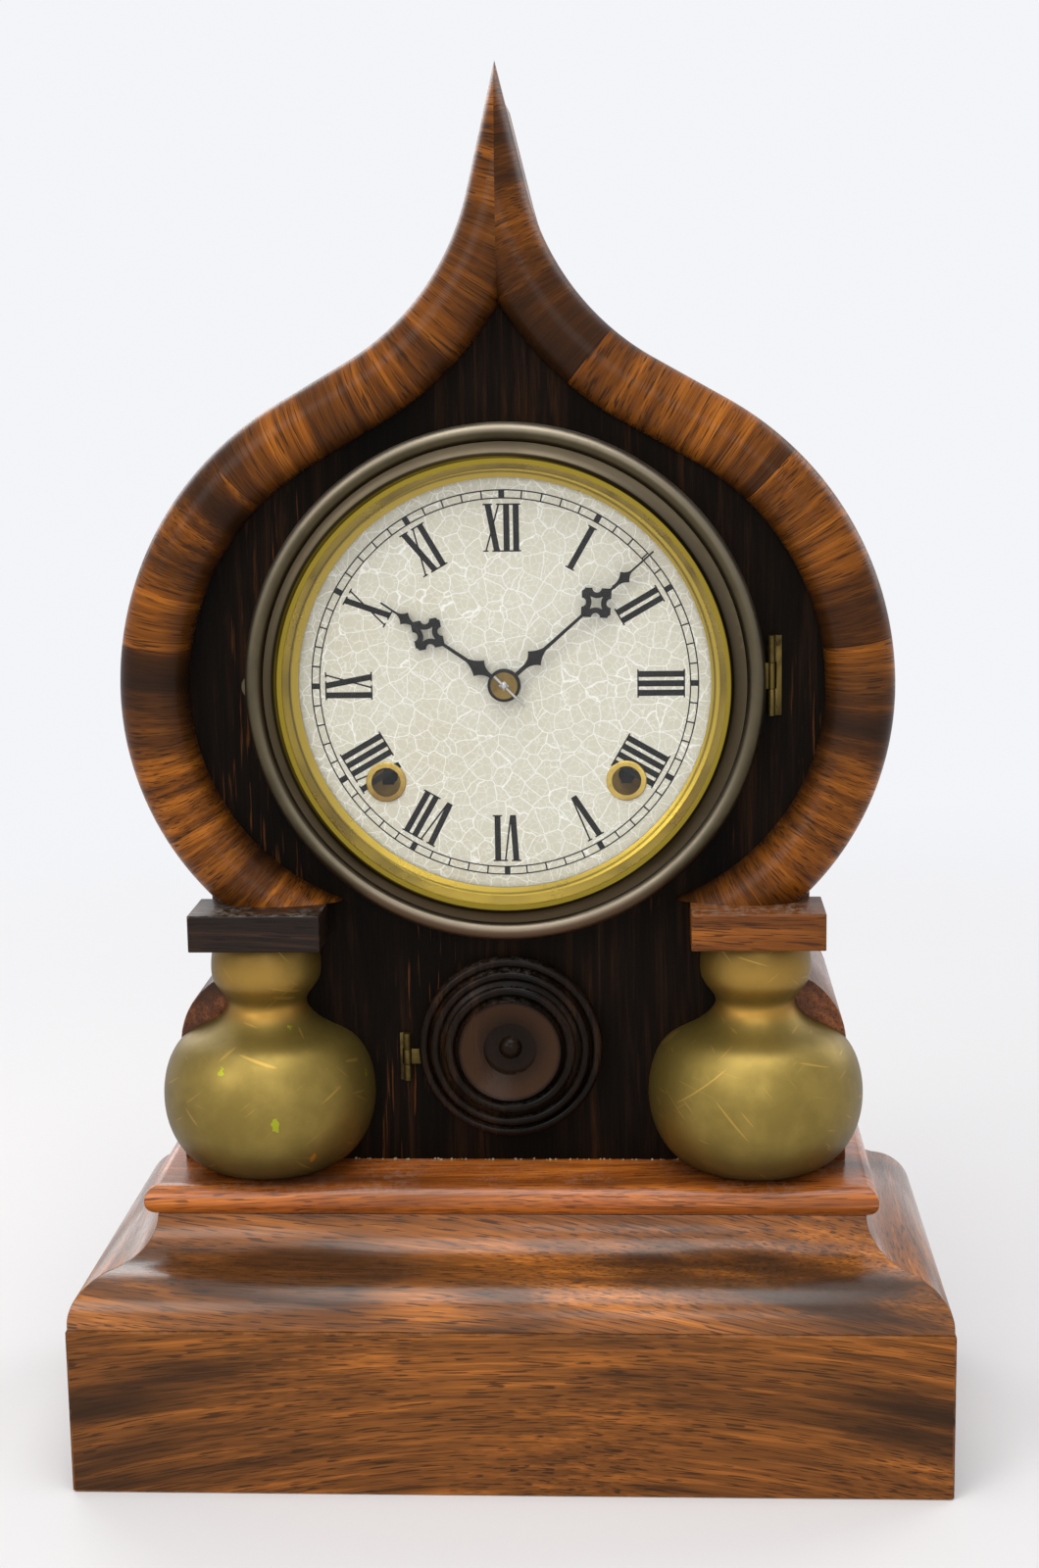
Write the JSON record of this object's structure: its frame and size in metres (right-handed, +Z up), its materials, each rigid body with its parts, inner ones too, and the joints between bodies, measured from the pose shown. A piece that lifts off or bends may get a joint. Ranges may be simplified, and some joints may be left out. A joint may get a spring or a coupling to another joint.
{
  "type": "shelf clock",
  "caption": "Onion-topped wooden shelf clock with gilded half turnings, a hinged brass bezel over a Roman dial, a rosette door and a striking pendulum movement inside.",
  "frame": {"origin": "middle of the plinth's footprint, on the surface that it stands on", "axes": "+Z up, the dial faces -Y, +X to the right as seen from the front"},
  "size_m": [0.256, 0.119, 0.4066],
  "materials": {
    "rosewood": "satin veneer",
    "deck_wood": "glossy veneer",
    "case_wood": "plain oiled wood",
    "dark_panel": "worn dark veneer",
    "dark_turning": "dark glossy turning",
    "gilt_wood": "old matte gilding",
    "dial_enamel": "crazed ivory paint",
    "brass_trim": "worn brass",
    "bezel_bronze": "brown patina",
    "bright_brass": "polished",
    "clear_glass": "clear",
    "black_hands": "black",
    "movement_brass": "machined",
    "movement_steel": "bright steel",
    "gong_iron": "rough"
  },
  "bodies": {
    "case": {"plinth_front": "rosewood", "plinth_left": "rosewood", "plinth_right": "rosewood", "corner_blocks": "case_wood", "ogee_front": "rosewood", "ogee_left": "rosewood", "ogee_right": "rosewood", "deck": "deck_wood", "cheek_left": "case_wood", "cheek_right": "case_wood", "case_wall_left": "case_wood", "case_wall_right": "case_wood", "front_panel": "dark_panel", "back_board": "case_wood", "rim_left": "rosewood", "rim_right": "rosewood", "capital_left": "rosewood", "capital_right": "rosewood", "apple_left": "gilt_wood", "apple_right": "gilt_wood", "dial": "dial_enamel", "dial_eyelets": "brass_trim", "hinge_plates": "brass_trim", "front_plate": "movement_brass", "back_plate": "movement_brass", "pillar_nuts": "movement_steel", "movement_posts": "case_wood", "mainsprings": "movement_steel", "suspension_spring": "movement_steel", "gong": "movement_steel", "gong_base": "gong_iron"},
    "bezel": {"bezel_ring": "bezel_bronze", "bezel_glass": "clear_glass", "sight_ring": "bright_brass", "bezel_hinge_leaf": "brass_trim"},
    "rosette_door": {"rosette": "dark_turning", "rosette_hinge_leaf": "brass_trim"},
    "center": {"center_arbor": "movement_brass", "minute_hand": "black_hands", "hand_fixings": "brass_trim"},
    "minute_work": {"minute_wheel": "movement_brass"},
    "hour_work": {"hour_wheel": "movement_brass", "hour_hand": "black_hands"},
    "time_main": {"time_main_wheel": "movement_brass"},
    "time_winding": {"time_winding_arbor": "movement_steel"},
    "time_pawl": {"time_click": "movement_steel"},
    "time_second": {"time_second_wheel": "movement_brass"},
    "fourth": {"fourth_wheel": "movement_brass"},
    "escape": {"escape_wheel": "movement_brass"},
    "pendulum": {"pendulum_rod": "movement_steel", "pendulum_bob": "movement_brass"},
    "verge_body": {"verge": "movement_steel"},
    "strike_main": {"strike_main_wheel": "movement_brass"},
    "strike_winding": {"strike_winding_arbor": "movement_steel"},
    "strike_pawl": {"strike_click": "movement_steel"},
    "strike_second": {"strike_second_wheel": "movement_brass"},
    "pin": {"pin_wheel": "movement_brass"},
    "warning": {"warning_wheel": "movement_brass"},
    "fly_body": {"fly": "movement_brass"},
    "hammer_body": {"hammer": "movement_steel"}
  },
  "joints": [
    {"name": "bezel_hinge", "type": "hinge", "parent": "case", "child": "bezel", "pos_m": [0.0774, -0.01427, 0.2332], "axis": [0, 0, 1], "range_deg": [0, 100]},
    {"name": "rosette_hinge", "type": "hinge", "parent": "case", "child": "rosette_door", "pos_m": [-0.0312, -0.01427, 0.11874], "axis": [0, 0, -1], "range_deg": [0, 90]},
    {"name": "minute_hand_turn", "type": "hinge", "parent": "case", "child": "center", "pos_m": [0, 0, 0.2315], "axis": [0, 1, 0], "continuous": true},
    {"name": "minute_wheel_turn", "type": "hinge", "parent": "case", "child": "minute_work", "pos_m": [0, 0, 0.2171], "axis": [0, 1, 0], "continuous": true},
    {"name": "hour_hand_turn", "type": "hinge", "parent": "case", "child": "hour_work", "pos_m": [0, 0, 0.2315], "axis": [0, 1, 0], "continuous": true},
    {"name": "time_second_turn", "type": "hinge", "parent": "case", "child": "time_second", "pos_m": [0.01947, 0, 0.23266], "axis": [0, 1, 0], "continuous": true},
    {"name": "time_main_turn", "type": "hinge", "parent": "case", "child": "time_main", "pos_m": [0.03525, 0, 0.203], "axis": [0, 1, 0], "continuous": true},
    {"name": "fourth_wheel_turn", "type": "hinge", "parent": "case", "child": "fourth", "pos_m": [0.00632, 0, 0.24887], "axis": [0, 1, 0], "continuous": true},
    {"name": "escape_wheel_turn", "type": "hinge", "parent": "case", "child": "escape", "pos_m": [0, 0, 0.26443], "axis": [0, 1, 0], "continuous": true},
    {"name": "time_winding_turn", "type": "hinge", "parent": "time_main", "child": "time_winding", "pos_m": [0.03525, 0, 0.203], "axis": [0, -1, 0], "range_deg": [0, 2880], "deforming": ["mainsprings"]},
    {"name": "time_click_turn", "type": "hinge", "parent": "time_main", "child": "time_pawl", "pos_m": [0.03525, 0, 0.19], "axis": [0, 1, 0], "range_deg": [0, 10], "stiffness_Nm_per_rad": 0.002, "springref_deg": -11.46},
    {"name": "pendulum_swing", "type": "hinge", "parent": "case", "child": "pendulum", "pos_m": [0, 0.03804, 0.27923], "axis": [0, 1, 0], "range_deg": [-3.5, 3.5], "deforming": ["suspension_spring"]},
    {"name": "verge_rock", "type": "hinge", "parent": "case", "child": "verge_body", "pos_m": [0, 0, 0.27923], "axis": [0, 1, 0], "range_deg": [-3.5, 3.5]},
    {"name": "pin_wheel_turn", "type": "hinge", "parent": "case", "child": "pin", "pos_m": [-0.03198, 0, 0.25185], "axis": [0, -1, 0], "continuous": true},
    {"name": "strike_second_turn", "type": "hinge", "parent": "case", "child": "strike_second", "pos_m": [-0.04108, 0, 0.23609], "axis": [0, -1, 0], "continuous": true},
    {"name": "strike_main_turn", "type": "hinge", "parent": "case", "child": "strike_main", "pos_m": [-0.03525, 0, 0.203], "axis": [0, -1, 0], "continuous": true},
    {"name": "warning_wheel_turn", "type": "hinge", "parent": "case", "child": "warning", "pos_m": [-0.02223, 0, 0.26578], "axis": [0, -1, 0], "continuous": true},
    {"name": "fly_turn", "type": "hinge", "parent": "case", "child": "fly_body", "pos_m": [-0.03369, 0, 0.27239], "axis": [0, -1, 0], "continuous": true},
    {"name": "strike_winding_turn", "type": "hinge", "parent": "strike_main", "child": "strike_winding", "pos_m": [-0.03525, 0, 0.203], "axis": [0, 1, 0], "range_deg": [0, 2880], "deforming": ["mainsprings"]},
    {"name": "strike_click_turn", "type": "hinge", "parent": "strike_main", "child": "strike_pawl", "pos_m": [-0.03525, 0, 0.19], "axis": [0, -1, 0], "range_deg": [0, 10], "stiffness_Nm_per_rad": 0.002, "springref_deg": -11.46},
    {"name": "hammer_lift", "type": "hinge", "parent": "case", "child": "hammer_body", "pos_m": [-0.05109, 0, 0.25522], "axis": [0, 1, 0], "range_deg": [0, 4], "stiffness_Nm_per_rad": 0.01, "springref_deg": -8.59}
  ],
  "couplings": [
    {"joint": "minute_wheel_turn", "follows": "minute_hand_turn", "ratio": -0.33333},
    {"joint": "hour_hand_turn", "follows": "minute_hand_turn", "ratio": 0.083333},
    {"joint": "time_second_turn", "follows": "minute_hand_turn", "ratio": -0.25},
    {"joint": "time_main_turn", "follows": "minute_hand_turn", "ratio": 0.041667},
    {"joint": "fourth_wheel_turn", "follows": "minute_hand_turn", "ratio": -10},
    {"joint": "escape_wheel_turn", "follows": "minute_hand_turn", "ratio": 110},
    {"joint": "verge_rock", "follows": "pendulum_swing", "ratio": 1},
    {"joint": "strike_second_turn", "follows": "pin_wheel_turn", "ratio": -0.16667},
    {"joint": "strike_main_turn", "follows": "pin_wheel_turn", "ratio": 0.027778},
    {"joint": "warning_wheel_turn", "follows": "pin_wheel_turn", "ratio": -7.5},
    {"joint": "fly_turn", "follows": "pin_wheel_turn", "ratio": 60}
  ]
}
